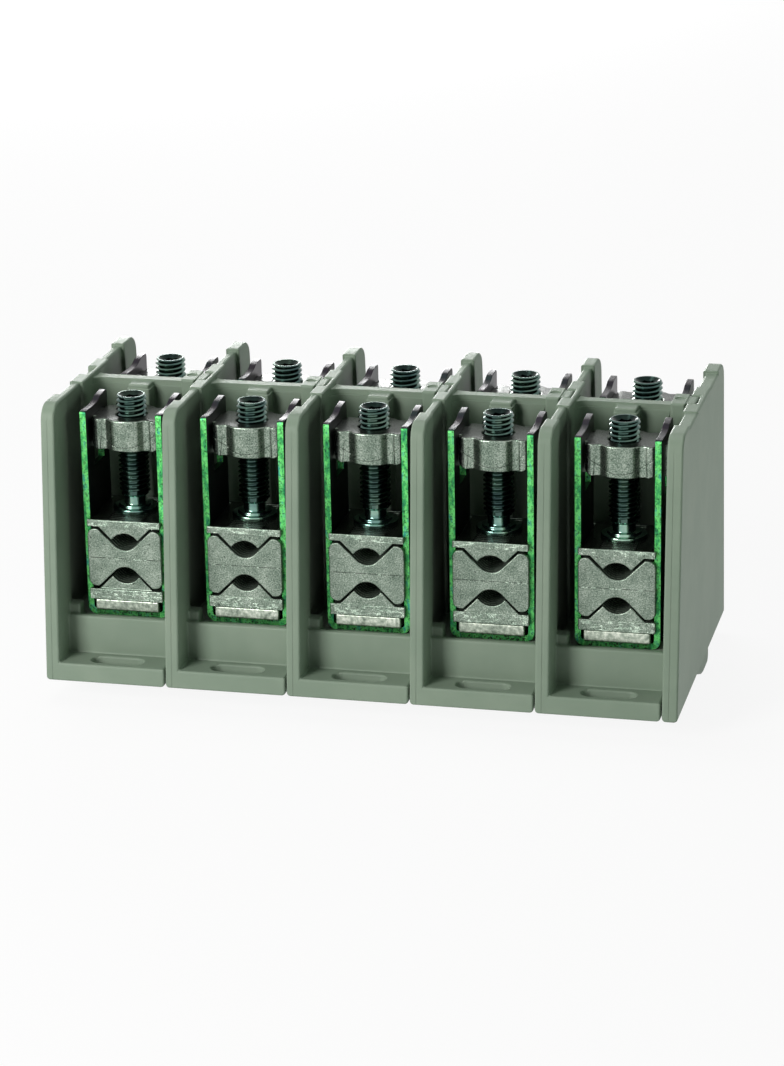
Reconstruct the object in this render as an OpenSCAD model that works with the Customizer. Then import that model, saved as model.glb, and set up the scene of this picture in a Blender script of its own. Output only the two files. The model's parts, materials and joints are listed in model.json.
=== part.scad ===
// Five-pole main-line terminal strip.
// Five moulded pole housings stand side by side on the X axis and an end plate
// closes the right-hand side. Each pole carries a busbar from front to rear with
// a prism cage clamp at each end. All sizes are in millimetres.
// Origin: middle of the strip in X and Y, underside of the foot in Z.
// The conductors enter along Y, the clamping screws stand along Z.

/* [Strip] */
// Distance from one pole to the next
pitch = 32; // [30:0.5:36]
// Depth of the housings along the conductors, at the underside
depth = 82; // [80:0.5:88]
// Height of the rims above the underside of the floor
wall_h = 72; // [70.5:0.5:78]
// Lean of the front and rear edges towards the middle, in mm per mm of height
lean = 0.08; // [0.06:0.01:0.1]

/* [Partition walls] */
// Thickness of the rims at the front and rear edges of a wall
rim_t = 3.6; // [3.3:0.1:4.2]
// Thickness of the end plate
end_t = 4; // [3.6:0.1:5]
// Depth of a rim, from the edge inwards
rim_d = 11; // [7:0.5:12.5]
// Radius of the upper corners of the rims
rim_r = 4.5; // [2:0.5:6]
// Step from the rim face to the web on the left-hand side
web_in_l = 0.6; // [0.3:0.1:1]
// Step from the rim face to the web on the right-hand side
web_in_r = 0.9; // [0.5:0.1:1.2]
// How much lower the top of the web lies than the top of the rims
web_drop = 0.8; // [0.4:0.1:2]
// Rounding of the lower edges of the housings
foot_edge_r = 1; // [0.5:0.1:1.6]

/* [Floor] */
// Thickness of the mounting shelves at the front and rear
shelf_h = 4.8; // [4:0.1:7]
// Depth of a mounting shelf
shelf_d = 9; // [8.5:0.1:9.6]
// Height of the platform that carries the clamps
deck_h = 13.8; // [12:0.1:16]
// Height of the retaining lip above the platform
lip_h = 1.1; // [0.6:0.1:1.5]
// Thickness of the retaining lip
lip_t = 1.6; // [1.2:0.1:2]
// Width of the mounting slots, across the shelf
slot_w = 4.6; // [3.6:0.1:5]
// Overall length of the mounting slots
slot_l = 13.6; // [10:0.2:18]
// Distance from the left face of a housing to the middle of its mounting slots
slot_x = 18; // [16:0.5:19]
// Distance from the edge of the shelf to the middle of a mounting slot
slot_in = 4.8; // [4.2:0.1:5]
// Depth of the foot below the underside
foot_h = 5.6; // [4:0.2:8]
// Where the foot begins, measured from the middle towards the front
foot_y0 = 7; // [4:0.5:12]
// Where the foot ends, measured from the middle towards the rear
foot_y1 = 18.6; // [14:0.2:24]
// Length of the sloping front of the foot
foot_ramp = 17; // [8:0.5:20]
// Radius of the rear corner of the foot
foot_r = 2; // [1:0.2:3]
// Length of the posts that keep the bracket off the wall, along the wall
post_l = 4; // [3:0.5:6]
// Height of the posts above the platform
post_h = 3.6; // [3:0.2:8]
// Gap between a post and the bracket
post_gap = 1.2; // [0.8:0.1:2]
// Clearance between one housing and the next
seam = 0.3; // [0.2:0.05:0.4]

/* [Cross partition] */
// Thickness of the cross partition between the front and rear clamps
part_t = 3.6; // [3:0.1:4.4]
// How much lower the top of the cross partition lies than the rims
part_drop = 1.8; // [1.6:0.1:4]
// Height of the thinner band along the top of the cross partition
band_h = 1.5; // [1:0.1:3]
// Step from the partition to its thinner band
band_in = 0.3; // [0.1:0.05:0.5]
// Radius of the hollow corners between the partition and the wall
hollow_corner_r = 3; // [1:0.5:5]
// Width of the pilaster in the middle of the partition
pil_w = 6.2; // [5:0.1:8]
// How far the pilaster stands out at the front
pil_f = 4.2; // [3:0.1:4.6]
// How far the pilaster stands out at the rear
pil_r = 1.8; // [1:0.1:2.2]
// Distance from the left face of a housing to the middle of the pilaster
pil_x = 16.8; // [16:0.1:18]
// How much lower the top of the pilaster lies than the partition
pil_drop = 0.4; // [0.2:0.1:1]
// Half length of the thickened hub of a wall, along the wall
hub_y = 11; // [9.5:0.1:12]
// How much lower the top of the hub lies than the rims
hub_drop = 0.5; // [0.1:0.1:0.7]
// Half width of the socket in the hub
socket_y = 3.6; // [3:0.1:4]
// Depth of the socket, into the wall
socket_x = 2.4; // [2:0.1:2.6]
// How much lower the floor of the socket lies than the rims
socket_drop = 2.1; // [2:0.1:3]
// Clearance round the tongue that lies in the socket
tongue_gap = 0.2; // [0.1:0.05:0.3]
// Width of the end block that carries the tongue
block_w = 3.6; // [3:0.1:4]
// Half length of the end block, along the wall
block_y = 4.8; // [4.4:0.1:5.2]
// Diameter of the ejector mark on top of the end block
mark_d = 2.7; // [1.5:0.1:3]
// Depth of the ejector mark
mark_in = 0.3; // [0.1:0.1:0.6]
// Width of the narrow groove in the rear of the pilaster
groove_w = 2.8; // [1:0.1:4]
// Depth of that groove, downwards from the top
groove_l = 4; // [2:0.5:10]

/* [Clamp bracket] */
// Distance from the left face of a housing to the middle of the clamps
clamp_x = 18.6; // [18.4:0.1:18.8]
// Distance from the middle of the strip to the clamping screws
clamp_y = 17.4; // [17.2:0.1:17.6]
// Inner width of the bracket
cage_in = 18.4; // [18:0.1:18.6]
// Thickness of the bracket strip
cage_t = 1.7; // [1.4:0.1:1.8]
// Distance from the screw to the front edge of the bracket
cage_f = 9.8; // [9:0.1:10]
// Distance from the screw to the rear edge of the bracket
cage_b = 8.2; // [7.6:0.1:8.4]
// Inner radius of the lower corners of the bracket
cage_ri = 0.6; // [0.3:0.1:0.6]
// Height of the front shoulder of the bracket arms above the underside
cage_h = 68.5; // [67:0.1:69]
// How much higher the rear ear of an arm stands
ear_up = 1; // [0.6:0.1:1.4]
// Half width of the windows in the bracket arms
win_y = 3.9; // [3.6:0.1:4.2]
// How far the windows reach below the nut
win_low = 5; // [3:0.5:7]

/* [Nut] */
// How far the top of the nut lies below the front shoulders of the bracket
nut_drop = 2.8; // [2:0.1:4]
// Height of the nut
nut_h = 8.2; // [7.6:0.1:8.6]
// How far the round middle of the nut stands out from the screw axis
nut_f = 7.9; // [7:0.1:8.2]
// Radius of the lower edges of the nut, seen from the front
nut_r_low = 2.2; // [1:0.1:3]
// Radius of the upper edges of the nut, seen from the front
nut_r_top = 1; // [0.4:0.1:2]
// Clearance between the nut and the bracket arms, per side
nut_gap = 0.15; // [0.1:0.05:0.3]
// How far the ears of the nut stand out of the bracket
nut_ear = 0.7; // [0.4:0.1:0.9]

/* [Clamping screw] */
// Outer diameter of the screw thread
screw_d = 8; // [7:0.5:8.5]
// How far the screw stands out above the nut when the clamp is closed
screw_rise = 5.2; // [4.4:0.1:6]
// Height of the lower end of the thread above the top of the pressure plate
stem_h = 4.4; // [3.6:0.1:5]
// Diameter of the plain stem below the thread
stem_d = 5.7; // [5:0.1:6]
// Diameter of the collar that presses on the plate
collar_d = 11.6; // [10:0.1:12]
// Thickness of the collar
collar_h = 1; // [0.8:0.1:1.4]
// Diameter of the step above the collar
step_d = 8.6; // [8:0.1:9.4]
// Height of the step above the collar
step_h = 0.7; // [0.4:0.1:1]
// Diameter of the pivot pin below the collar
pin_d = 4.6; // [4:0.1:5]
// Length of the pivot pin
pin_l = 2; // [1.6:0.1:2.2]
// Width across flats of the hexagon socket
hex_af = 4; // [3:0.5:5]
// Depth of the hexagon socket
hex_d = 5; // [3:0.5:7]
// Diameter of the countersink above the hexagon socket
csk_d = 6.4; // [6.2:0.1:6.6]
// Radial running clearance of the screw in the nut and of the pin in the plate
run_gap = 0.05; // [0.02:0.01:0.08]

/* [Prism plates] */
// Width of the guide flanges that overlap the bracket edges
flange_w = 19.6; // [19.3:0.1:20]
// Thickness of the guide flanges in front of and behind the bracket
flange_t = 1.3; // [1:0.1:1.5]
// Clearance between the sliding plates and the bracket
slide_gap = 0.2; // [0.15:0.05:0.3]
// Height of the middle prism block
prism_h = 15.5; // [15:0.1:15.8]
// Depth of the V grooves in the middle prism block
v_depth = 5.5; // [5.2:0.1:5.7]
// Radius at the bottom of the V grooves
v_r = 3.9; // [3.5:0.1:4.2]
// Radius of the upright edges and corners of the middle prism block
prism_r = 1.8; // [1:0.1:2.2]
// Thickness of the lip of the upper pressure plate
plate_t = 1.8; // [1.2:0.1:2]
// Thickness of the lip of the lower V plate
low_t = 3; // [2:0.1:3.4]
// Half width between the tips of a wedge
tip_w = 3.5; // [3.2:0.1:3.8]
// Radius of the hollow between the tips of a wedge
hollow_r = 4.2; // [4:0.1:4.6]
// Gap between the flanks of the wedges and of the V grooves, square to the flank
flank_gap = 0.5; // [0.25:0.05:0.6]
// How far the lips stand out in front of the wedges
lip_out = 0.3; // [0.1:0.1:0.6]
// Gap between the lips of the plates and the middle prism block
lip_gap = 0.7; // [0.6:0.05:0.9]

/* [Busbar] */
// Clearance between the busbar and the bracket arms, per side
bar_side = 0.7; // [0.7:0.1:1.6]
// Thickness of the busbar
bar_t = 2.9; // [2:0.1:3.4]
// Clearance round the busbar where it passes the cross partition
bar_gap = 0.4; // [0.2:0.05:0.6]

/* [Hidden] */
$fn = 48;
POLES = 5;

plastic = [0.56, 0.60, 0.54];
nickel = [0.72, 0.73, 0.70];
chromate = [0.32, 0.42, 0.36];
zinc = [0.20, 0.26, 0.25];

bar_w = cage_in - 2 * bar_side;
strip_l = POLES * pitch + end_t;
half_d = depth / 2;
zb = foot_h;
hub_h = wall_h - hub_drop;
part_h = wall_h - part_drop;
socket_h = wall_h - socket_drop;
tongue_h = hub_h - socket_h - tongue_gap;
eps = 0.01;

// Heights of the stack in a clamp, from the platform upwards
deck_z = zb + deck_h;
bar_z = deck_z + cage_t;
low_z = bar_z + bar_t;
prism_z = low_z + low_t + lip_gap;
prism_top = prism_z + prism_h;
plate_z = prism_top + lip_gap;
plate_top = plate_z + plate_t;
nut_top = zb + cage_h - nut_drop;
nut_bot = nut_top - nut_h;

// The flank of a V groove is at 45 degrees, so its half width at a height above
// the apex equals that height
v_apex = v_depth + v_r * (sqrt(2) - 1);
wedge_w = v_apex + lip_gap - flank_gap * sqrt(2);
wedge_h = wedge_w - tip_w;
hollow_rise = hollow_r - sqrt(hollow_r * hollow_r - tip_w * tip_w);

arm_o = cage_in / 2 + cage_t;
body_f = cage_f + slide_gap;
body_b = cage_b + slide_gap;

// Left face of pole i
function pole_x(i) = -strip_l / 2 + (i - 1) * pitch;

// Front edge of the housings at a height above the underside
function edge_y(h) = -half_d + lean * h;

// Points of an arc from angle a0 to a1
function arc(cx, cy, r, a0, a1, n = 8) =
    [for (k = [0 : n]) let (a = a0 + (a1 - a0) * k / n) [cx + r * cos(a), cy + r * sin(a)]];

// Mirrors a list of points left to right and reverses its order
function flip(p) = [for (k = [len(p) - 1 : -1 : 0]) [-p[k][0], p[k][1]]];

// Shifts a list of points
function move(p, dx, dy) = [for (q = p) [q[0] + dx, q[1] + dy]];

// Outline of a wall seen from the side, up to height h, without its foot
function side_outline(h, r) =
    let (top = concat(
        arc(edge_y(h) + r, zb + h - r, r, 180 - atan(lean), 90, 6),
        []))
    concat(
        [[edge_y(0), zb]],
        top,
        flip(top),
        [[-edge_y(0), zb]]);

// Outline of the foot seen from the side, up to a height inside the floor
function foot_outline() = concat(
    [[-foot_y0, zb + 1], [-foot_y0, zb], [foot_ramp - foot_y0 - 3, 0.5], [foot_ramp - foot_y0, 0]],
    arc(foot_y1 - foot_r, foot_r, foot_r, 270, 360, 6),
    [[foot_y1, zb + 1]]);

// Front view of the space that one moulding fills, from x = 0 to x = x1, with its
// lower edges rounded. The foot keeps clear of the rounding.
function moulding_front(x1, top_w) = concat(
    [[0, zb + wall_h + 9]],
    arc(foot_edge_r, zb + foot_edge_r, foot_edge_r, 180, 270, 5),
    [[foot_edge_r, -1], [x1 - foot_edge_r, -1]],
    arc(x1 - foot_edge_r, zb + foot_edge_r, foot_edge_r, 270, 360, 5),
    [[x1, zb + socket_h - 1], [x1 + top_w, zb + socket_h - 1], [x1 + top_w, zb + wall_h + 9]]);

// Extrudes a side view (Y to the right, Z upwards) from x0 to x1
module side_solid(x0, x1, pts) {
    translate([x0, 0, 0])
        rotate([90, 0, 90])
            linear_extrude(height = x1 - x0)
                polygon(pts);
}

// Extrudes a front view (X to the right, Z upwards) from y0 to y1
module front_solid(y0, y1, pts) {
    translate([0, y1, 0])
        rotate([90, 0, 0])
            linear_extrude(height = y1 - y0)
                polygon(pts);
}

// One rim along the front (s = 1) or rear (s = -1) edge of a wall
module rim(t, s) {
    intersection() {
        side_solid(0, t, side_outline(wall_h, rim_r));
        side_solid(-1, t + 1, [for (q = [
            [edge_y(0) - 5, zb - 1], [edge_y(0) + rim_d, zb - 1],
            [edge_y(wall_h) + rim_d, zb + wall_h + 1], [edge_y(0) - 5, zb + wall_h + 1]
        ]) [s * q[0], q[1]]]);
    }
}

// A partition wall: web, two rims and the hub with its socket.
// t is the rim thickness and web_r the right-hand face of the web.
module wall(t, web_r) {
    difference() {
        union() {
            side_solid(web_in_l, web_r, side_outline(wall_h - web_drop, rim_r));
            side_solid(0, t, foot_outline());
            rim(t, 1);
            rim(t, -1);
            translate([0, -hub_y, zb])
                cube([t, 2 * hub_y, hub_h]);
        }
        translate([-1, -socket_y, zb + socket_h])
            cube([socket_x + 1, 2 * socket_y, wall_h]);
    }
}

// The floor with its shelves, risers, lips and platform, from x0 to x1
module floor_block(x0, x1) {
    riser = half_d - shelf_d;
    side_solid(x0, x1, concat(
        [[edge_y(0), zb], [edge_y(shelf_h), zb + shelf_h], [-riser, zb + shelf_h],
         [-riser, deck_z + lip_h], [-riser + lip_t, deck_z + lip_h], [-riser + lip_t, deck_z],
         [riser - lip_t, deck_z], [riser - lip_t, deck_z + lip_h], [riser, deck_z + lip_h],
         [riser, zb + shelf_h], [-edge_y(shelf_h), zb + shelf_h], [-edge_y(0), zb]]));
    side_solid(x0, x1, foot_outline());
}

// A mounting slot through the shelf, long side along X
module mount_slot(y) {
    for (s = [-1, 1])
        translate([slot_x + s * (slot_l - slot_w) / 2, y, -1])
            cylinder(d = slot_w, h = zb + shelf_h + 2);
    translate([slot_x - (slot_l - slot_w) / 2, y - slot_w / 2, -1])
        cube([slot_l - slot_w, slot_w, zb + shelf_h + 2]);
}

// Plan of the cross partition from the wall at its left to x1, with the pilaster
// and the hollow corners. Every face is moved in by the value inset.
module partition_plan(x1, inset) {
    y = part_t / 2 - inset;
    translate([web_in_l, -y])
        square([x1 - web_in_l, 2 * y]);
    for (s = [-1, 1])
        polygon(concat(
            [[web_in_l, 0], [web_in_l, s * (y + hollow_corner_r)]],
            [for (q = arc(rim_t - inset + hollow_corner_r, y + hollow_corner_r, hollow_corner_r, 180, 270, 6))
                [q[0], s * q[1]]],
            [[rim_t + hollow_corner_r, 0]]));
}

// The cross partition with pilaster, end block and tongue
module partition() {
    x1 = pitch - seam;
    part_y = part_t / 2;
    difference() {
        union() {
            translate([0, 0, zb])
                linear_extrude(height = part_h - band_h)
                    partition_plan(x1, 0);
            translate([0, 0, zb])
                linear_extrude(height = part_h)
                    partition_plan(x1, band_in);
            translate([pil_x - pil_w / 2, -part_y - pil_f, zb])
                cube([pil_w, pil_f + part_t + pil_r, part_h - band_h]);
            translate([pil_x - pil_w / 2 + band_in, -part_y - pil_f + band_in, zb])
                cube([pil_w - 2 * band_in, pil_f + part_t + pil_r - 2 * band_in, part_h - pil_drop]);
            translate([x1 - block_w, -block_y, zb])
                cube([block_w, 2 * block_y, hub_h]);
            translate([x1 - eps, -socket_y + tongue_gap, zb + socket_h])
                cube([seam + socket_x - tongue_gap + eps, 2 * (socket_y - tongue_gap), tongue_h]);
        }
        translate([x1 - block_w / 2, 0, zb + hub_h - mark_in])
            cylinder(d = mark_d, h = mark_in + 1);
        translate([pil_x - groove_w / 2, part_y + band_in, zb + part_h - groove_l])
            cube([groove_w, pil_r - 2 * band_in - 0.4, groove_l + 1]);
    }
}

// One pole housing, moulded in one piece
module housing(i) {
    x1 = pitch - seam;
    web = rim_t - web_in_r;
    color(plastic)
        translate([pole_x(i), 0, 0])
            difference() {
                union() {
                    intersection() {
                        union() {
                            wall(rim_t, web);
                            floor_block(web - eps, x1);
                            difference() {
                                partition();
                                translate([-1, -socket_y, zb + socket_h])
                                    cube([socket_x + 1, 2 * socket_y, wall_h]);
                            }
                        }
                        front_solid(-depth, depth, moulding_front(x1, 9));
                    }
                    // post that keeps the bracket off the wall
                    for (s = [-1, 1])
                        translate([web - eps, s * (half_d - shelf_d - lip_t - post_l / 2) - post_l / 2, deck_z - 1])
                            cube([clamp_x - arm_o - post_gap - web, post_l, post_h + 1]);
                }
                for (s = [-1, 1])
                    mount_slot(s * (half_d - slot_in));
                // passage of the busbar through the partition
                translate([clamp_x - bar_w / 2 - bar_gap, -pil_f - part_t, bar_z - bar_gap])
                    cube([bar_w + 2 * bar_gap, 2 * (pil_f + part_t), bar_t + 2 * bar_gap]);
            }
}

// The end plate that closes the last pole
module end_plate() {
    color(plastic)
        translate([pole_x(POLES + 1), 0, 0])
            intersection() {
                wall(end_t, end_t);
                front_solid(-depth, depth, moulding_front(end_t, 0));
            }
}

// Places a clamp part at the front (s = -1) or rear (s = 1) clamp of pole i
module at_clamp(i, s) {
    translate([pole_x(i) + clamp_x, s * clamp_y, 0])
        children();
}

// The busbar, which runs from the front clamp to the rear clamp
module busbar(i) {
    color(nickel)
        translate([pole_x(i) + clamp_x - bar_w / 2, -clamp_y - body_f - flange_t + 0.4, bar_z])
            cube([bar_w, 2 * clamp_y + body_f + body_b + 2 * flange_t - 0.8, bar_t]);
}

// The bracket: a steel strip bent to a U, with a window in each arm for the nut
module bracket() {
    cage_r = cage_ri + cage_t;
    outer = concat(
        arc(-arm_o + cage_r, deck_z + cage_r, cage_r, 180, 270, 6),
        arc(arm_o - cage_r, deck_z + cage_r, cage_r, 270, 360, 6));
    inner = concat(
        arc(arm_o - cage_r, deck_z + cage_r, cage_ri, 360, 270, 6),
        arc(-arm_o + cage_r, deck_z + cage_r, cage_ri, 270, 180, 6));
    top = zb + cage_h;
    color(chromate)
        difference() {
            intersection() {
                front_solid(-cage_f, cage_b, concat(
                    [[-arm_o, top + 5]], outer, [[arm_o, top + 5]],
                    [[arm_o - cage_t, top + 5]], inner, [[-arm_o + cage_t, top + 5]]));
                side_solid(-arm_o - 1, arm_o + 1, concat(
                    [[cage_b, deck_z - 1], [-cage_f, deck_z - 1]],
                    arc(-cage_f + 0.8, top - 0.8, 0.8, 180, 90, 4),
                    [[-cage_f + 3, top - 0.1], [-cage_f + 6, top - 0.3], [-cage_f + 8.5, top - 0.2]],
                    [for (k = [0 : 6]) [-cage_f + 9.5 + k * 0.6,
                        top + (ear_up - 0.1) * (1 - cos(k * 30)) / 2 - 0.1]],
                    arc(cage_b - 1.2, top + ear_up - 1.2, 1.2, 90, 0, 5)));
            }
            translate([-arm_o - 1, -win_y, nut_bot - win_low])
                cube([2 * arm_o + 2, 2 * win_y, nut_h + win_low]);
        }
}

// Half of the plan outline of the nut, from the middle of its front to its side
function nut_front() = concat(
    arc(0, -nut_f + 12, 12, 270, 285, 4),
    [[3.9, -nut_f + 0.9], [4.6, -nut_f + 1.6], [5.3, -nut_f + 1.9], [6.1, -nut_f + 1.8]],
    [[7, -nut_f + 1.3]],
    arc(cage_in / 2 - nut_gap - 1.4, -nut_f + 2.8, 1.4, 285, 360, 5));

// The nut: a block with a round middle and two ears that stand in the windows
module nut() {
    front = nut_front();
    back = [for (q = flip(front)) [-q[0], -q[1]]];
    right = concat(front, back);
    w = cage_in / 2 - nut_gap;
    color(nickel)
        difference() {
            union() {
                intersection() {
                    translate([0, 0, nut_bot])
                        linear_extrude(height = nut_h)
                            polygon(concat(right, [for (q = right) [-q[0], -q[1]]]));
                    front_solid(-nut_f - 1, nut_f + 1, concat(
                        arc(-w + nut_r_top, nut_top - nut_r_top, nut_r_top, 90, 180, 4),
                        arc(-w + nut_r_low, nut_bot + nut_r_low, nut_r_low, 180, 270, 6),
                        arc(w - nut_r_low, nut_bot + nut_r_low, nut_r_low, 270, 360, 6),
                        arc(w - nut_r_top, nut_top - nut_r_top, nut_r_top, 0, 90, 4)));
                }
                // the two ears that stand in the windows of the bracket
                translate([-arm_o - nut_ear, -win_y + 0.2, nut_bot])
                    cube([2 * (arm_o + nut_ear), 2 * (win_y - 0.2), nut_h]);
            }
            translate([0, 0, nut_bot - 1])
                cylinder(d = screw_d + 2 * run_gap, h = nut_h + 2);
        }
}

// Front view of a wedge below z = 0: flanks, tips and the hollow between them
function wedge() = concat(
    [[-wedge_w, 0], [-tip_w, -wedge_h]],
    [for (k = [1 : 9]) let (x = -tip_w + 2 * tip_w * k / 10)
        [x, -wedge_h + sqrt(hollow_r * hollow_r - x * x) - sqrt(hollow_r * hollow_r - tip_w * tip_w)]],
    [[tip_w, -wedge_h], [wedge_w, 0]]);

// Plan of a sliding block: a core between the bracket arms with a wider guide
// flange in front and behind
module slide_plan(gap) {
    core = cage_in / 2 - gap;
    translate([-core, -body_f - eps])
        square([2 * core, body_f + body_b + 2 * eps]);
    translate([-flange_w / 2, -body_f - flange_t])
        square([flange_w, flange_t]);
    translate([-flange_w / 2, body_b])
        square([flange_w, flange_t]);
}

// The upper pressure plate with its wedge and the bearing of the screw pin
module pressure_plate() {
    color(nickel)
        difference() {
            union() {
                translate([0, 0, plate_z])
                    linear_extrude(height = plate_t)
                        slide_plan(slide_gap);
                front_solid(-body_f - flange_t + lip_out, body_b + flange_t - lip_out,
                    move(concat([[wedge_w, eps], [-wedge_w, eps]], wedge()), 0, plate_z));
            }
            translate([0, 0, plate_top - pin_l - 0.15])
                cylinder(d = pin_d + 2 * run_gap, h = pin_l + 2);
        }
}

// The lower V plate, which lies on the busbar
module v_plate() {
    up = [for (q = wedge()) [-q[0], -q[1]]];
    color(nickel)
        union() {
            translate([0, 0, low_z])
                linear_extrude(height = low_t)
                    slide_plan(slide_gap);
            front_solid(-body_f - flange_t + lip_out, body_b + flange_t - lip_out,
                move(concat([[-wedge_w, -eps], [wedge_w, -eps]], up), 0, low_z + low_t));
        }
}

// Half of the V groove, from the mouth on the left to the mouth on the right,
// for a face at z = 0
function vee() = concat(
    [[-v_apex - 1, 1]],
    arc(0, -v_depth + v_r, v_r, 225, 315, 8),
    [[v_apex + 1, 1]]);

// The middle prism block: a V groove above and below, guided on the bracket arms
module prism() {
    w = flange_w / 2;
    color(nickel)
        intersection() {
            translate([0, 0, prism_z])
                linear_extrude(height = prism_h)
                    slide_plan(slide_gap);
            difference() {
                front_solid(-body_f - flange_t, body_b + flange_t, concat(
                    arc(-w + prism_r, prism_top - prism_r, prism_r, 90, 180, 4),
                    arc(-w + prism_r, prism_z + prism_r, prism_r, 180, 270, 4),
                    arc(w - prism_r, prism_z + prism_r, prism_r, 270, 360, 4),
                    arc(w - prism_r, prism_top - prism_r, prism_r, 0, 90, 4)));
                front_solid(-50, 50, move(vee(), 0, prism_top));
                front_solid(-50, 50, move([for (q = vee()) [-q[0], -q[1]]], 0, prism_z));
            }
        }
}

// The clamping screw with hexagon socket, stem, collar and pivot pin
module screw() {
    top = nut_top + screw_rise;
    color(zinc)
        difference() {
            union() {
                translate([0, 0, plate_top + stem_h])
                    cylinder(d = screw_d, h = top - 0.5 - plate_top - stem_h);
                translate([0, 0, top - 0.5])
                    cylinder(d1 = screw_d, d2 = screw_d - 1, h = 0.5);
                translate([0, 0, plate_top + stem_h - 0.6])
                    cylinder(d1 = stem_d, d2 = screw_d, h = 0.6);
                translate([0, 0, plate_top])
                    cylinder(d = stem_d, h = stem_h);
                translate([0, 0, plate_top])
                    cylinder(d = step_d, h = collar_h + step_h);
                translate([0, 0, plate_top])
                    cylinder(d = collar_d, h = collar_h);
                translate([0, 0, plate_top - pin_l])
                    cylinder(d = pin_d, h = pin_l + eps);
            }
            translate([0, 0, top - hex_d])
                cylinder(d = hex_af / cos(30), h = hex_d + 1, $fn = 6);
            translate([0, 0, top - 1])
                cylinder(d1 = hex_af, d2 = csk_d, h = 1 + eps);
        }
}

module brackets(i) {
    at_clamp(i, -1) bracket();
    at_clamp(i, 1) bracket();
}

module nuts(i) {
    at_clamp(i, -1) nut();
    at_clamp(i, 1) nut();
}

module v_plates(i) {
    at_clamp(i, -1) v_plate();
    at_clamp(i, 1) v_plate();
}

housing(1);  // housing_1
housing(2);  // housing_2
housing(3);  // housing_3
housing(4);  // housing_4
housing(5);  // housing_5
end_plate();
busbar(1);  // busbar_1
busbar(2);  // busbar_2
busbar(3);  // busbar_3
busbar(4);  // busbar_4
busbar(5);  // busbar_5
brackets(1);  // bracket_1
brackets(2);  // bracket_2
brackets(3);  // bracket_3
brackets(4);  // bracket_4
brackets(5);  // bracket_5
nuts(1);  // nut_1
nuts(2);  // nut_2
nuts(3);  // nut_3
nuts(4);  // nut_4
nuts(5);  // nut_5
v_plates(1);  // v_plate_1
v_plates(2);  // v_plate_2
v_plates(3);  // v_plate_3
v_plates(4);  // v_plate_4
v_plates(5);  // v_plate_5
at_clamp(1, -1) prism();  // prism_f1
at_clamp(2, -1) prism();  // prism_f2
at_clamp(3, -1) prism();  // prism_f3
at_clamp(4, -1) prism();  // prism_f4
at_clamp(5, -1) prism();  // prism_f5
at_clamp(1, 1) prism();  // prism_r1
at_clamp(2, 1) prism();  // prism_r2
at_clamp(3, 1) prism();  // prism_r3
at_clamp(4, 1) prism();  // prism_r4
at_clamp(5, 1) prism();  // prism_r5
at_clamp(1, -1) pressure_plate();  // plate_f1
at_clamp(2, -1) pressure_plate();  // plate_f2
at_clamp(3, -1) pressure_plate();  // plate_f3
at_clamp(4, -1) pressure_plate();  // plate_f4
at_clamp(5, -1) pressure_plate();  // plate_f5
at_clamp(1, 1) pressure_plate();  // plate_r1
at_clamp(2, 1) pressure_plate();  // plate_r2
at_clamp(3, 1) pressure_plate();  // plate_r3
at_clamp(4, 1) pressure_plate();  // plate_r4
at_clamp(5, 1) pressure_plate();  // plate_r5
at_clamp(1, -1) screw();  // screw_f1
at_clamp(2, -1) screw();  // screw_f2
at_clamp(3, -1) screw();  // screw_f3
at_clamp(4, -1) screw();  // screw_f4
at_clamp(5, -1) screw();  // screw_f5
at_clamp(1, 1) screw();  // screw_r1
at_clamp(2, 1) screw();  // screw_r2
at_clamp(3, 1) screw();  // screw_r3
at_clamp(4, 1) screw();  // screw_r4
at_clamp(5, 1) screw();  // screw_r5
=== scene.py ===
# %% [markdown]
# # Dressing a five-pole terminal strip
# The strip is a row of grey moulded housings. In every pole a flat busbar joins a cage
# clamp at the front to one at the rear: a bent steel bracket, a nut, a dark screw and a
# stack of V-shaped blocks that grip the conductors.
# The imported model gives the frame. Each solid is copied, its edges are rounded as the
# moulding or the casting would round them, and it gets a procedural finish. The screws
# get a real thread.

# %% Load the frame
import json
import math

import bmesh
import bpy
from mathutils import Matrix, Vector


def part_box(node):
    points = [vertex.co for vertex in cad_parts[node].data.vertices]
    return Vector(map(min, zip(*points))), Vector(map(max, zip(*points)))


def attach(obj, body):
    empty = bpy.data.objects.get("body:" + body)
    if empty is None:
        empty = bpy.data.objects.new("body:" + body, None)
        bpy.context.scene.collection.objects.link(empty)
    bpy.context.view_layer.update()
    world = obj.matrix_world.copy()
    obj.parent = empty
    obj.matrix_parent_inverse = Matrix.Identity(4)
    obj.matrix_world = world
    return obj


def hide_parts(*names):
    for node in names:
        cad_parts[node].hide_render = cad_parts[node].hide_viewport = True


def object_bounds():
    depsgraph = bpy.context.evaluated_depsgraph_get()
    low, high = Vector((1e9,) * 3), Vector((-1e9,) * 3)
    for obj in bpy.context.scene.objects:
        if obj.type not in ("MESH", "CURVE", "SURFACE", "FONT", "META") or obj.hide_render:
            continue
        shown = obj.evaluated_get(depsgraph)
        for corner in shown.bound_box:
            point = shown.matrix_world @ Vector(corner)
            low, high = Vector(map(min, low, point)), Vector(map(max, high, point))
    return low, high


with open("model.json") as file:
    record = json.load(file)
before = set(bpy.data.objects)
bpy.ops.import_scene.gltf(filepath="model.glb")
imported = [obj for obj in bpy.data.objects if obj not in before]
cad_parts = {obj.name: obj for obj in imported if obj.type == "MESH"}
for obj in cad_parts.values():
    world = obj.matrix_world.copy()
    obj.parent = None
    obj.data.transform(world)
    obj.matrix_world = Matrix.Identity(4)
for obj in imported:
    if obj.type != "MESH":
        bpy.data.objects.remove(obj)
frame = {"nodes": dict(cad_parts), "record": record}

cad_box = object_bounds()
nodes = frame["nodes"]
body_of_node = {n: b for b, ns in frame["record"]["behaviour"]["bodies"].items() for n in ns}

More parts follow.
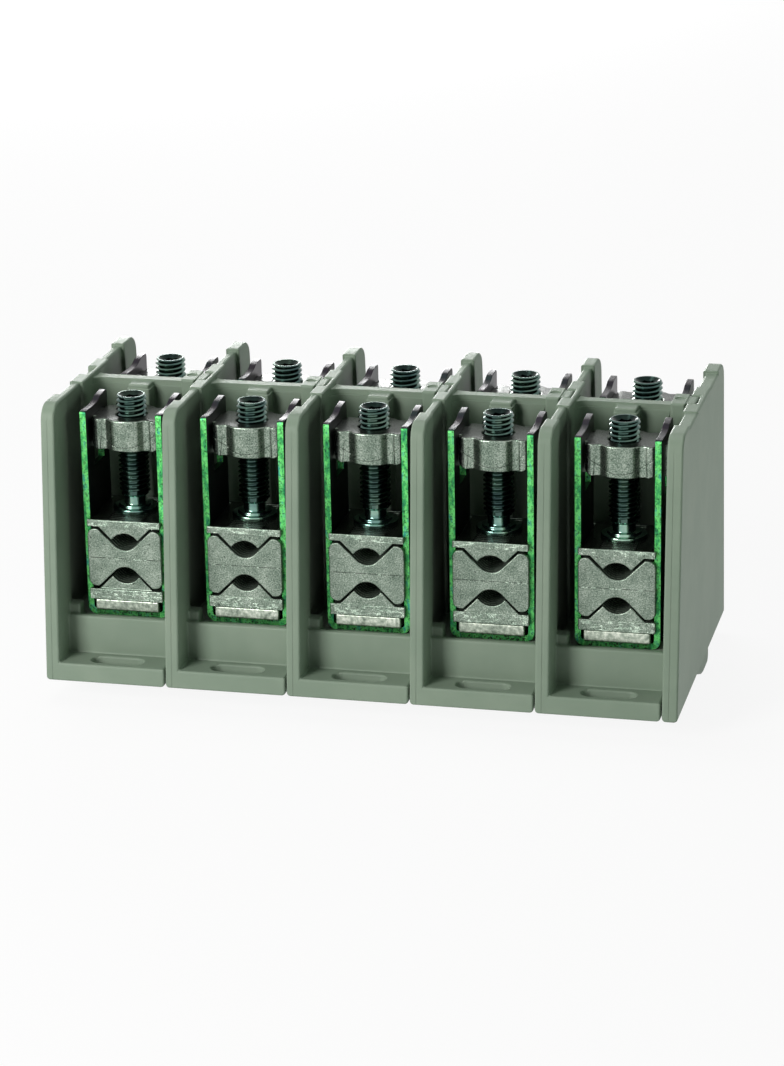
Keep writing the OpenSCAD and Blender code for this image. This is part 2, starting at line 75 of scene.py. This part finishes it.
# %% [markdown]
# ## Sizes that the finishes need
# A pattern such as a mould line has to know where the poles and the clamps stand. These
# are the same sizes as in the solid model, in metres. LEAN is how far the rims lean back
# for each metre of height, and STEM is the bare part of a screw above its pressure plate.

# %% Sizes of the strip
MM = 0.001
PITCH = 32 * MM
LEFT = cad_box[0][0]
CLAMP_X = 18.6 * MM
CLAMP_Y = 17.4 * MM
RIM = 3.6 * MM
BASE = 5.6 * MM
LEAN = 0.08509
PLATE_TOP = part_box("plate_f1")[1][2]
STEM = 4.4 * MM
print("left face of the strip at", round(LEFT / MM, 2), "mm")

# %% [markdown]
# ## The camera
# The photograph is taken from the front, a little from the right and from above, with a
# long lens. The angles were found by fitting a camera to the edges of the housings. The
# camera comes before the pieces, so that every later step can be looked at.

# %% Camera
AZIMUTH, ELEVATION, ROLL = math.radians(13.66), math.radians(18.66), math.radians(-1.11)
DISTANCE = 853.98 * MM
PHOTO_WIDTH, FOCAL_PIXELS = 784, 3450.89
SENSOR_WIDTH = 36
TARGET = Vector((92.42 * MM + LEFT, -41 * MM, 45.47 * MM + BASE))
forward = Vector((-math.sin(AZIMUTH) * math.cos(ELEVATION),
                  math.cos(AZIMUTH) * math.cos(ELEVATION), -math.sin(ELEVATION)))
right = Vector((math.cos(AZIMUTH), math.sin(AZIMUTH), 0))
up = right.cross(forward)
rolled_right = math.cos(ROLL) * right + math.sin(ROLL) * up
rolled_up = math.cos(ROLL) * up - math.sin(ROLL) * right

lens = bpy.data.cameras.new("camera")
lens.sensor_fit = "HORIZONTAL"
lens.sensor_width = SENSOR_WIDTH
lens.lens = SENSOR_WIDTH * FOCAL_PIXELS / PHOTO_WIDTH
camera = bpy.data.objects.new("camera", lens)
camera.matrix_world = (Matrix.Translation(TARGET - forward * DISTANCE)
                       @ Matrix((rolled_right, rolled_up, -forward)).transposed().to_4x4())
bpy.context.scene.collection.objects.link(camera)
bpy.context.scene.camera = camera
print("lens", round(lens.lens, 1), "mm, camera at", [round(v, 3) for v in camera.location])

# %% [markdown]
# ## Writing shader maths as sums
# A finish is a sum of small effects: a mould line here, a speckle there. Wiring each
# Math node by hand hides the idea, so one small class wraps a socket and turns +, -, *
# and comparisons into Math nodes.

# %% Shader sums
class Wire:
    """A number in a material that takes part in sums."""

    def __init__(self, graph, socket):
        self.graph, self.socket = graph, socket

    def math(self, operation, *others):
        values = dict(enumerate((self,) + others))
        return self.graph.node("ShaderNodeMath", {"operation": operation}, values)

    def __add__(self, other): return self.math("ADD", other)
    def __radd__(self, other): return self.math("ADD", other)
    def __sub__(self, other): return self.math("SUBTRACT", other)
    def __rsub__(self, other): return self.math("MULTIPLY", -1.0).math("ADD", other)
    def __mul__(self, other): return self.math("MULTIPLY", other)
    def __gt__(self, other): return self.math("GREATER_THAN", other)
    def __lt__(self, other): return self.math("LESS_THAN", other)
    def __abs__(self): return self.math("ABSOLUTE")
    def __mod__(self, other): return self.math("FLOORED_MODULO", other)
    def __pow__(self, other): return self.math("POWER", other)

    def fade(self, start, end):
        """0 below start, 1 above end, and a soft step between."""
        settings = {"interpolation_type": "SMOOTHSTEP"}
        return self.graph.node("ShaderNodeMapRange", settings,
                               {"Value": self, "From Min": start, "From Max": end})

    def line(self, middle, half_width):
        """1 on a thin line round the value middle, 0 away from it."""
        return 1 - abs(self - middle).fade(half_width * 0.3, half_width)


class Graph:
    """A node tree that grows by one call per node."""

    def __init__(self, owner):
        owner.use_nodes = True
        self.tree = owner.node_tree
        self.coords = self.tree.nodes.new("ShaderNodeTexCoord")

    def node(self, kind, settings=None, values=None, out=0):
        """Adds a node, sets it up, plugs its inputs and hands back one of its outputs."""
        made = self.tree.nodes.new(kind)
        settings = dict(settings or {})
        stops = settings.pop("stops", None)
        for key, value in settings.items():
            setattr(made, key, value)
        if stops:
            ramp = made.color_ramp
            while len(ramp.elements) < len(stops):
                ramp.elements.new(0.5)
            for element, (position, colour) in zip(ramp.elements, stops):
                element.position, element.color = position, (*colour, 1)
        for key, value in (values or {}).items():
            self.plug(value, made.inputs[key])
        return Wire(self, made.outputs[out])

    def plug(self, value, socket):
        """Links a wire or a socket, or sets a plain value."""
        value = value.socket if isinstance(value, Wire) else value
        if isinstance(value, bpy.types.NodeSocket):
            self.tree.links.new(value, socket)
        else:
            socket.default_value = value

    def split(self, vector):
        """The three numbers of a vector."""
        parts = self.tree.nodes.new("ShaderNodeSeparateXYZ")
        self.tree.links.new(vector, parts.inputs[0])
        return [Wire(self, parts.outputs[i]) for i in range(3)]


class Finish(Graph):
    """A material of the strip, painted by the place and the facing of its surface."""

    def __init__(self, name):
        self.material = bpy.data.materials.new(name)
        super().__init__(self.material)
        self.shader = self.tree.nodes["Principled BSDF"]
        self.place = self.coords.outputs["Object"]
        self.x, self.y, self.z = self.split(self.place)
        self.nx, self.ny, self.nz = self.split(self.coords.outputs["Normal"])
        self.across = ((self.x - LEFT) % PITCH) - CLAMP_X

    def noise(self, scale, detail, rough, stretch=(1, 1, 1)):
        spot = self.node("ShaderNodeMapping", {}, {"Vector": self.place, "Scale": stretch})
        return self.node("ShaderNodeTexNoise", {},
                         {"Vector": spot, "Scale": scale, "Detail": detail, "Roughness": rough})

    def ramp(self, value, *stops):
        return self.node("ShaderNodeValToRGB", {"stops": stops}, {"Fac": value})

    def blend(self, factor, first, second):
        return self.node("ShaderNodeMix", {"data_type": "RGBA"},
                         {"Factor": factor, 6: first, 7: second}, out=2)

    def grey(self, value):
        """A number as a plain grey colour, to multiply colours by."""
        return self.node("ShaderNodeCombineColor", {}, {0: value, 1: value, 2: value})

    def shade(self, colour, value):
        """A colour made darker or lighter by a number."""
        return self.node("ShaderNodeMix", {"data_type": "RGBA", "blend_type": "MULTIPLY"},
                         {"Factor": 1.0, 6: colour, 7: self.grey(value)}, out=2)

    def bump(self, height, distance):
        self.feed("Normal", self.node("ShaderNodeBump", {},
                                      {"Height": height, "Distance": distance}))

    def feed(self, name, value):
        self.plug(value, self.shader.inputs[name])


def linear(red, green, blue):
    """A colour as it is seen on a screen, 0 to 255, as light.

    The numbers are those of the sRGB curve, and none of the colours here is below 10."""
    return tuple(((v / 255 + 0.055) / 1.055) ** 2.4 for v in (red, green, blue))


def opaque(red, green, blue):
    return (*linear(red, green, blue), 1)


print("shader helpers ready")

# %% [markdown]
# ## Moulded grey plastic
# The housings are moulded in a filled plastic: a grey with a green cast, silky rather
# than glossy. Close up it shows very faint clouds, a fine grain from the mould steel and,
# along the middle of every rim, the thin line where the two halves of the mould met.
# The line is found from the X coordinate, because every pole repeats after one pitch.

# %% Finish of the housings
plastic = Finish("moulded_plastic")
clouds = plastic.noise(60, 3, 0.55)
grain = plastic.noise(5200, 2, 0.6)
along_pole = (plastic.x - LEFT) % PITCH
on_edge_face = abs(plastic.ny).fade(0.6, 0.9) * (abs(plastic.y).fade(0.0345, 0.036))
mould_line = along_pole.line(RIM * 0.5, 0.16 * MM) * on_edge_face
base = plastic.blend(clouds.fade(0.35, 0.7), opaque(126, 143, 126), opaque(133, 149, 132))
base = plastic.shade(base, 1 - mould_line * 0.10)
plastic.feed("Base Color", base)
plastic.feed("Roughness", 0.42 + grain * 0.10)
plastic.feed("Specular IOR Level", 0.2)
plastic.bump(grain * 0.25 + clouds * 0.4 - mould_line * 1.6, 0.05 * MM)
print("plastic has", len(plastic.tree.nodes), "nodes")

# %% [markdown]
# ## Passivated steel strip
# The brackets are steel strip, zinc plated and passivated: the film shows interference
# colours. The cut edges that face the front are bright green, and the flat faces are dark
# violet to green. Which one shows depends on which way the face points, so the finish
# reads the direction of the face on the piece. On top of their film colour, the flat faces
# get a painted shade that stands in for the dark reflections they show, and the bottom run
# of the strip under the bar gets a painted shadow.

# %% Finish of the brackets
strip = Finish("passivated_strip")
cloud = strip.noise(90, 4, 0.6)
streak = strip.noise(520, 4, 0.75, stretch=(1, 1, 0.4))
fleck = strip.noise(1900, 2, 0.7)
cut_face = abs(strip.ny).fade(0.55, 0.8)
edge_tint = strip.ramp(streak, (0.32, linear(26, 104, 78)), (0.44, linear(58, 160, 86)),
                       (0.54, linear(108, 208, 112)), (0.66, linear(50, 148, 132)))
face_tint = strip.ramp(cloud, (0.30, linear(32, 30, 38)), (0.47, linear(48, 38, 52)),
                       (0.58, linear(30, 42, 46)), (0.72, linear(32, 60, 56)))
tint = strip.blend(cut_face, face_tint, edge_tint)
strip_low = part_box("bracket_1")[0][2]
# Painted shadow: the bottom run of the strip, under the bar and behind the lip, is darkened.
painted_shadow_under_bar = (strip.z < strip_low + 1.8 * MM) * (abs(strip.across) < 8.4 * MM)
worn_fleck = fleck.fade(0.50, 0.66) * cut_face
# Painted shade: the flat faces are kept far darker than the cut edges, standing in for the dark
# reflections they show; the flecks are dark marks of the strip.
tint = strip.shade(tint, 0.34 + cut_face * 0.68 - worn_fleck * 0.75 - painted_shadow_under_bar * 0.55)
strip.feed("Base Color", tint)
strip.feed("Metallic", 1.0 - cut_face * 0.25)
strip.feed("Roughness", 0.26 + cloud * 0.16 + cut_face * 0.1)
strip.bump(fleck * cut_face + streak * 0.3, 0.06 * MM)
print("strip has", len(strip.tree.nodes), "nodes")

# %% [markdown]
# ## Nickel-plated blocks
# The V blocks and the nuts are sintered or cast and nickel plated: a satin grey with a
# fine salt-and-pepper grain and a few tiny pits. Inside the V grooves fine ribs run across
# the conductor to bite into it; the grooves get a painted shade and the rib crests painted
# highlights. A fine line along the middle of the blocks shows where the two dies met; it
# and the sheared lips of the plates carry painted glints, and on the nuts the line of the
# dies hangs down in a bow. The top faces of the plates and of the nuts get a painted shade
# that stands in for the dark reflections they show.

# %% Finish of the V blocks
def nickel_plate(name):
    finish = Finish(name)
    speckle = finish.noise(3000, 3, 0.7)
    patch = finish.noise(240, 3, 0.6)
    pits = finish.noise(1100, 2, 0.5).fade(0.68, 0.76)
    tone = finish.ramp(speckle * 0.75 + patch * 0.25, (0.37, linear(86, 104, 90)),
                       (0.50, linear(132, 148, 134)), (0.62, linear(184, 196, 182)))
    return finish, speckle, patch, pits, tone


block, speckle, patch, pits, tone = nickel_plate("nickel_plate")
facing_front = abs(block.ny).fade(0.6, 0.9)
in_groove = (1 - abs(block.across).fade(4.2 * MM, 4.8 * MM)) * (1 - abs(block.ny).fade(0.3, 0.5))
prism_low, prism_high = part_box("prism_f1")
lip_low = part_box("v_plate_1")[0][2]
parting = block.z.line((prism_low[2] + prism_high[2]) / 2, 0.16 * MM) * facing_front
sheared = (block.z > PLATE_TOP - 1.8 * MM) + (block.z < lip_low + 3.0 * MM)
# Painted highlights: bright glints painted into the colour along the parting line and on the
# sheared lips.
painted_glint = block.noise(1300, 3, 0.7, stretch=(0.5, 1, 1)).fade(0.50, 0.62) * facing_front
painted_glint = painted_glint * (sheared * 0.55 + parting)
# Painted shade: the top faces of the plates are darkened, standing in for the dark reflections
# they show; they are also made smoother.
painted_dark_top = block.nz.fade(0.8, 0.95) * (block.z > PLATE_TOP - 0.5 * MM)
ribs = block.node("ShaderNodeTexWave", {"bands_direction": "Y", "wave_profile": "SIN"},
                  {"Vector": block.place, "Scale": 240.0})
# Painted light in the base colour: a painted shade in the grooves with painted highlights on the
# rib crests, painted glints, and a painted shade on the top faces; the pits and the parting line
# are marks of the block.
block.feed("Base Color", block.shade(tone, 0.86 - pits * 0.55 + (ribs * 0.8 - 0.5) * in_groove
                                     - parting * 0.5 + painted_glint * 1.5 - painted_dark_top * 0.5))
block.feed("Metallic", 0.95)
block.feed("Roughness", 0.36 + speckle * 0.16 - painted_glint * 0.12 - painted_dark_top * 0.22)
block.bump(speckle * 0.5 - pits * 1.5 + ribs * in_groove * 6.0 - parting * 1.5 + painted_glint * 1.5,
           0.05 * MM)
print("block has", len(block.tree.nodes), "nodes")

# %% Finish of the nuts
nut_metal, speckle, patch, pits, tone = nickel_plate("nickel_nut")
nut_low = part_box("nut_1")[0][2]
bow = nut_metal.z - nut_metal.across * nut_metal.across * 56.0
flash = bow.line(nut_low + 1.1 * MM, 0.14 * MM) * abs(nut_metal.ny).fade(0.3, 0.6)
# Painted shade: the top faces of the nuts are darkened, standing in for the dark reflections
# they show.
painted_nut_top_shade = nut_metal.nz.fade(0.6, 0.9) * (nut_metal.z > nut_low + 4 * MM)
nut_metal.feed("Base Color", nut_metal.shade(tone, 0.94 - pits * 0.4 - flash * 0.6
                                             - painted_nut_top_shade * 0.78))
nut_metal.feed("Metallic", 0.97)
nut_metal.feed("Roughness", 0.22 + speckle * 0.14)
nut_metal.bump(speckle * 0.3 + patch - pits - flash * 1.2, 0.05 * MM)

# %% [markdown]
# ## Tinned busbar
# The bar is rolled copper with a tin coat: brighter than the blocks, drawn out along its
# length, with a few dull patches.

# %% Finish of the busbars
tin = Finish("tinned_bar")
draw = tin.noise(900, 3, 0.6, stretch=(1, 0.08, 1))
dull = tin.noise(160, 3, 0.6)
tin.feed("Base Color", tin.ramp(draw * 0.6 + dull * 0.4, (0.38, linear(118, 130, 118)),
                                (0.50, linear(172, 184, 168)), (0.62, linear(224, 230, 216))))
tin.feed("Metallic", 0.9)
tin.feed("Roughness", 0.24 + dull * 0.2)
tin.bump(draw + dull * 0.6, 0.05 * MM)

# %% [markdown]
# ## Dark zinc screws
# The clamping screws are dark, nearly black, with a blue-green sheen from their
# passivation. They are the glossiest pieces, so the lamps draw bright streaks on them. The
# collar at the foot is lightened with painted light, and the socket darkened with a
# painted shade.

# %% Finish of the screws
zinc = Finish("dark_zinc")
film = zinc.noise(140, 3, 0.6)
scuff = zinc.noise(1800, 2, 0.6)
hole = zinc.across * zinc.across + (abs(zinc.y) - CLAMP_Y) ** 2.0
# Painted shade: the inside of the socket is darkened.
painted_socket_shade = (hole < (3.15 * MM) ** 2) * (zinc.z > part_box("screw_f1")[1][2] - 6 * MM)
# Painted light: the collar is lightened so that it shows in the dark bay.
collar = zinc.z < PLATE_TOP + STEM
sheen = zinc.ramp(film, (0.32, linear(96, 128, 128)), (0.50, linear(134, 174, 162)),
                  (0.66, linear(176, 212, 190)))
zinc.feed("Base Color", zinc.shade(sheen, 0.30 + collar * 0.5 - painted_socket_shade * 0.24))
zinc.feed("Metallic", 1.0)
zinc.feed("Roughness", 0.11 + scuff * 0.10)
zinc.bump(scuff, 0.02 * MM)
print("finishes:", [m.name for m in bpy.data.materials])

# %% [markdown]
# ## Rounded copies of the solids
# The solids have sharp edges, and nothing real has. Where a solid's form is right, the
# piece starts as a merged copy of it, its flat areas are joined back into single faces,
# and a bevel rounds the sharp edges. A moulding tool leaves its largest radius on free
# edges and a small one at narrow steps, so each edge is rounded as far as its two faces
# leave room for it.

# %% How much room an edge has
SHARP_ANGLE = math.radians(34)
RUN_ON_ANGLE = math.radians(25)
SHARE_OF_ROOM = 0.42


def is_sharp(edge):
    return len(edge.link_faces) == 2 and edge.calc_face_angle(0) > SHARP_ANGLE


def room_beside(loop):
    """How far it is from an edge to the next sharp one, square across its face.

    Three spots on the edge look across, and the shortest way counts."""
    face, start, end = loop.face, loop.vert.co, loop.link_loop_next.vert.co
    along = (end - start).normalized()
    inward = face.normal.cross(along)
    reach = 1.0
    for share in (0.2, 0.5, 0.8):
        spot = start.lerp(end, share)
        for other in face.loops:
            if other is loop or not is_sharp(other.edge):
                continue
            p = other.vert.co - spot
            q = other.link_loop_next.vert.co - spot
            side_p, side_q = p.dot(along), q.dot(along)
            if side_p * side_q < 0:
                cut = p.lerp(q, side_p / (side_p - side_q)).dot(inward)
                if cut > 1e-6:
                    reach = min(reach, cut)
    return reach


def bend(edge, other, vert):
    """The angle by which the way turns from one edge to the other at their vertex."""
    ahead = other.other_vert(vert).co - vert.co
    return (vert.co - edge.other_vert(vert).co).angle(ahead, math.pi)


def weigh_edges(bm, radius):
    """Gives every sharp edge the share of the radius that its faces leave room for.

    Edges that run on into one another, as along an arc, share the smallest of theirs."""
    weight = bm.edges.layers.float.new("bevel_weight_edge")
    sharp = [edge for edge in bm.edges if is_sharp(edge)]
    for edge in sharp:
        room = min(room_beside(loop) for loop in edge.link_loops)
        edge[weight] = min(1.0, SHARE_OF_ROOM * room / radius)
    runs = [(edge, other) for edge in sharp for vert in edge.verts for other in vert.link_edges
            if other is not edge and is_sharp(other) and bend(edge, other, vert) < RUN_ON_ANGLE]
    uneven = True
    while uneven:
        uneven = False
        for edge, other in runs:
            if edge[weight] > other[weight]:
                edge[weight] = other[weight]
                uneven = True


# %% Rounded copies
MOULD = "housing_4"
SHELF_TOP = 12 * MM
SAME_PLANE = 0.05 * MM
WELD, CLOSE_WELD = 0.04 * MM, 0.002 * MM
FLAT_ANGLE = math.radians(0.8)
CREASE_ANGLE = math.radians(32)


def join_shelf_and_rim(bm, inner_x):
    """Lets the shelves end in the leaning plane of the rims, at shared points."""
    everything = bm.verts[:] + bm.edges[:] + bm.faces[:]
    bmesh.ops.bisect_plane(bm, geom=everything, dist=1e-6, plane_no=(1, 0, 0),
                           plane_co=(inner_x, 0, 0))
    for vert in bm.verts:
        edge_y = cad_box[1][1] - LEAN * (vert.co.z - BASE)
        if abs(abs(vert.co.y) - edge_y) < SAME_PLANE and vert.co.z < SHELF_TOP:
            vert.co.y = math.copysign(edge_y, vert.co.y)


def cleaned(node):
    """A merged copy of a solid's mesh, with its flat areas as single faces.

    The housings come out of one mould, so one mesh serves all of them, a pitch apart."""
    source = MOULD if node.startswith("housing") else node
    bm = bmesh.new()
    bm.from_mesh(nodes[source].data)
    bmesh.ops.remove_doubles(bm, verts=bm.verts, dist=CLOSE_WELD)
    if source == MOULD:
        join_shelf_and_rim(bm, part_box(source)[0][0] + RIM)
    bmesh.ops.remove_doubles(bm, verts=bm.verts, dist=WELD)
    bmesh.ops.dissolve_limit(bm, angle_limit=FLAT_ANGLE, verts=bm.verts, edges=bm.edges)
    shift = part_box(node)[0][0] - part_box(source)[0][0]
    bmesh.ops.translate(bm, verts=bm.verts, vec=(shift, 0, 0))
    return bm


def finished(bm, name, finish, node, radius=0.0):
    """Turns a bmesh into a piece that rides on the node's body and stands for the node."""
    mesh = bpy.data.meshes.new(name)
    bm.to_mesh(mesh)
    bm.free()
    if "custom_normal" in mesh.attributes:
        mesh.attributes.remove(mesh.attributes["custom_normal"])
    mesh.materials.append(finish.material)
    mesh.shade_smooth()
    piece = bpy.data.objects.new(name, mesh)
    bpy.context.scene.collection.objects.link(piece)
    if radius:
        rounding = piece.modifiers.new("rounding", "BEVEL")
        rounding.limit_method = "WEIGHT"
        rounding.width = radius
        rounding.segments = 3
        rounding.use_clamp_overlap = False
        rounding.harden_normals = True
    else:
        mesh.set_sharp_from_angle(angle=CREASE_ANGLE)
    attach(piece, body_of_node[node])
    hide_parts(node)
    return piece


def rounded_copy(node, finish, radius):
    bm = cleaned(node)
    weigh_edges(bm, radius)
    return finished(bm, node + "_dressed", finish, node, radius)


DRESS = {"housing": (plastic, 0.6 * MM), "end": (plastic, 0.6 * MM),
         "bracket": (strip, 0.15 * MM), "busbar": (tin, 0.4 * MM),
         "prism": (block, 0.3 * MM), "plate": (block, 0.3 * MM), "v": (block, 0.3 * MM),
         "nut": (nut_metal, 0.4 * MM)}
dressed = [rounded_copy(node, *DRESS[node.split("_")[0]])
           for node in sorted(nodes) if node.split("_")[0] in DRESS]
print("rounded pieces:", len(dressed))

# %% [markdown]
# ## Screws with a real thread
# A thread is a small ridge wound round a core. The core is a copy of the solid screw with
# its shank brought in to the root of the thread and the rims of its collar rounded. The
# ridge starts as the outline of a tooth, and the spin operator winds it: each step turns a
# little and rises a little.

# %% Threaded screws
SCREW_R = 4.0 * MM
ROOT_R = 3.28 * MM
THREAD_PITCH = 1.25 * MM
STEPS_PER_TURN = 24
THREAD_START = PLATE_TOP + STEM
TOOTH = [(ROOT_R - 0.05 * MM, 0), (SCREW_R - 0.07 * MM, 0.43 * MM), (SCREW_R, 0.5 * MM),
         (SCREW_R - 0.07 * MM, 0.62 * MM), (ROOT_R - 0.05 * MM, 1.05 * MM)]


def collar_rims(bm):
    """The sharp, level edges of the collar and of the step on it."""
    top = THREAD_START - 0.8 * MM
    return [edge for edge in bm.edges if is_sharp(edge)
            and all(PLATE_TOP - 0.02 * MM < v.co.z < top for v in edge.verts)
            and abs(edge.verts[0].co.z - edge.verts[1].co.z) < 0.01 * MM]


def threaded_screw(node):
    low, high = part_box(node)
    middle = Vector(((low[0] + high[0]) / 2, (low[1] + high[1]) / 2, 0))
    bm = cleaned(node)
    bmesh.ops.translate(bm, verts=bm.verts, vec=-middle)
    for vert in bm.verts:
        radius = vert.co.xy.length
        if abs(radius - SCREW_R) < 0.02 * MM and vert.co.z > THREAD_START - 0.1 * MM:
            vert.co.xy *= ROOT_R / radius
    bmesh.ops.bevel(bm, geom=collar_rims(bm), offset=0.2 * MM, segments=2, profile=0.5,
                    affect="EDGES")
    turns = (high[2] - 0.3 * MM - THREAD_START) / THREAD_PITCH - 0.75
    steps = int(turns * STEPS_PER_TURN)
    verts = [bm.verts.new((r, 0, THREAD_START + z)) for r, z in TOOTH]
    edges = [bm.edges.new(pair) for pair in zip(verts, verts[1:])]
    bmesh.ops.spin(bm, geom=verts + edges, cent=(0, 0, 0), axis=(0, 0, 1),
                   dvec=(0, 0, THREAD_PITCH / STEPS_PER_TURN),
                   angle=steps * 2 * math.pi / STEPS_PER_TURN,
                   steps=steps, use_merge=False, use_duplicate=False)
    bmesh.ops.translate(bm, verts=bm.verts, vec=middle)
    bmesh.ops.recalc_face_normals(bm, faces=bm.faces)
    return finished(bm, node + "_threaded", zinc, node)


screws = [threaded_screw(node) for node in sorted(nodes) if node.startswith("screw")]
heights = [v.co.z / MM for v in screws[0].data.vertices]
print(len(screws), "screws, from", round(min(heights), 2), "to", round(max(heights), 2), "mm,",
      len(screws[0].data.polygons), "faces each")

# %% [markdown]
# ## Floor, backdrop and studio light
# The photograph is a cut-out on white. A pale floor carries the strip and keeps a trace
# of its shadow. The camera and the metal see a white world. The light that the world sends
# is dim, so that the deep bays stay dark as they do in the photo. A large soft lamp stands
# at the front left.
# A second one, far to the right, reaches the end plate but not into the bays, and a third
# behind keeps the rear from sinking into the dark.

# %% Floor and world
def backdrop_rays(graph):
    """1 for the rays that show the backdrop: the camera's, and mirrored and refracted ones."""
    path = graph.tree.nodes.new("ShaderNodeLightPath")
    camera_ray, mirrored, refracted = (Wire(graph, path.outputs["Is " + kind + " Ray"])
                                       for kind in ("Camera", "Glossy", "Transmission"))
    return (camera_ray + mirrored + refracted).math("MINIMUM", 1.0)


FLOOR_HALF = 4.0
FLOOR_GREY = 0.78
GLOW_SHARE = 0.9
AMBIENT = 0.045

bm = bmesh.new()
bmesh.ops.create_grid(bm, x_segments=1, y_segments=1, size=FLOOR_HALF)
floor_mesh = bpy.data.meshes.new("floor")
bm.to_mesh(floor_mesh)
bm.free()
floor = bpy.data.objects.new("floor", floor_mesh)
bpy.context.scene.collection.objects.link(floor)

pale = bpy.data.materials.new("pale_floor")
ground = Graph(pale)
cloth = ground.tree.nodes["Principled BSDF"]
ground.plug((FLOOR_GREY, FLOOR_GREY, FLOOR_GREY, 1), cloth.inputs["Base Color"])
ground.plug(0.9, cloth.inputs["Roughness"])
glow = ground.node("ShaderNodeEmission", {}, {"Color": (1, 1, 1, 1), "Strength": 1.0})
both = ground.node("ShaderNodeMixShader", {},
                   {0: backdrop_rays(ground) * GLOW_SHARE, 1: cloth.outputs[0], 2: glow})
ground.plug(both, ground.tree.nodes["Material Output"].inputs[0])
floor_mesh.materials.append(pale)

world = bpy.data.worlds.new("studio")
bpy.context.scene.world = world
room = Graph(world)
dim = room.tree.nodes["Background"]
room.plug((0.84, 0.92, 0.86, 1), dim.inputs["Color"])
room.plug(AMBIENT, dim.inputs["Strength"])
white = room.node("ShaderNodeBackground", {}, {"Color": (1, 1, 1, 1), "Strength": 1.0})
shown = room.node("ShaderNodeMixShader", {},
                  {0: backdrop_rays(room), 1: dim.outputs[0], 2: white})
room.plug(shown, room.tree.nodes["World Output"].inputs[0])
print("floor and world ready")

# %% Lamps
MIDDLE = Vector((0, 0, 0.04))


def soft_lamp(name, place, width, height, watts, colour=(1, 1, 1)):
    """A rectangular area lamp that looks at the middle of the strip."""
    data = bpy.data.lights.new(name, "AREA")
    data.shape = "RECTANGLE"
    data.size, data.size_y = width, height
    data.energy = watts
    data.color = colour
    lamp = bpy.data.objects.new(name, data)
    lamp.location = place
    lamp.rotation_euler = (MIDDLE - Vector(place)).to_track_quat("-Z", "Y").to_euler()
    bpy.context.scene.collection.objects.link(lamp)


soft_lamp("key", (-0.38, -0.62, 0.34), 0.30, 0.36, 5.2, (1, 0.98, 0.97))
soft_lamp("fill", (1.10, -0.20, 0.35), 0.5, 0.5, 1.9, (0.82, 1, 0.84))
soft_lamp("top", (-0.2, 0.25, 1.0), 0.6, 0.4, 4)
soft_lamp("back", (-0.45, 1.15, 0.2), 0.5, 0.3, 7)

# %% [markdown]
# ## Colour
# The view transform is Standard, so a colour renders as it is written.

# %% Finish
bpy.context.scene.view_settings.view_transform = "Standard"
bpy.context.view_layer.update()
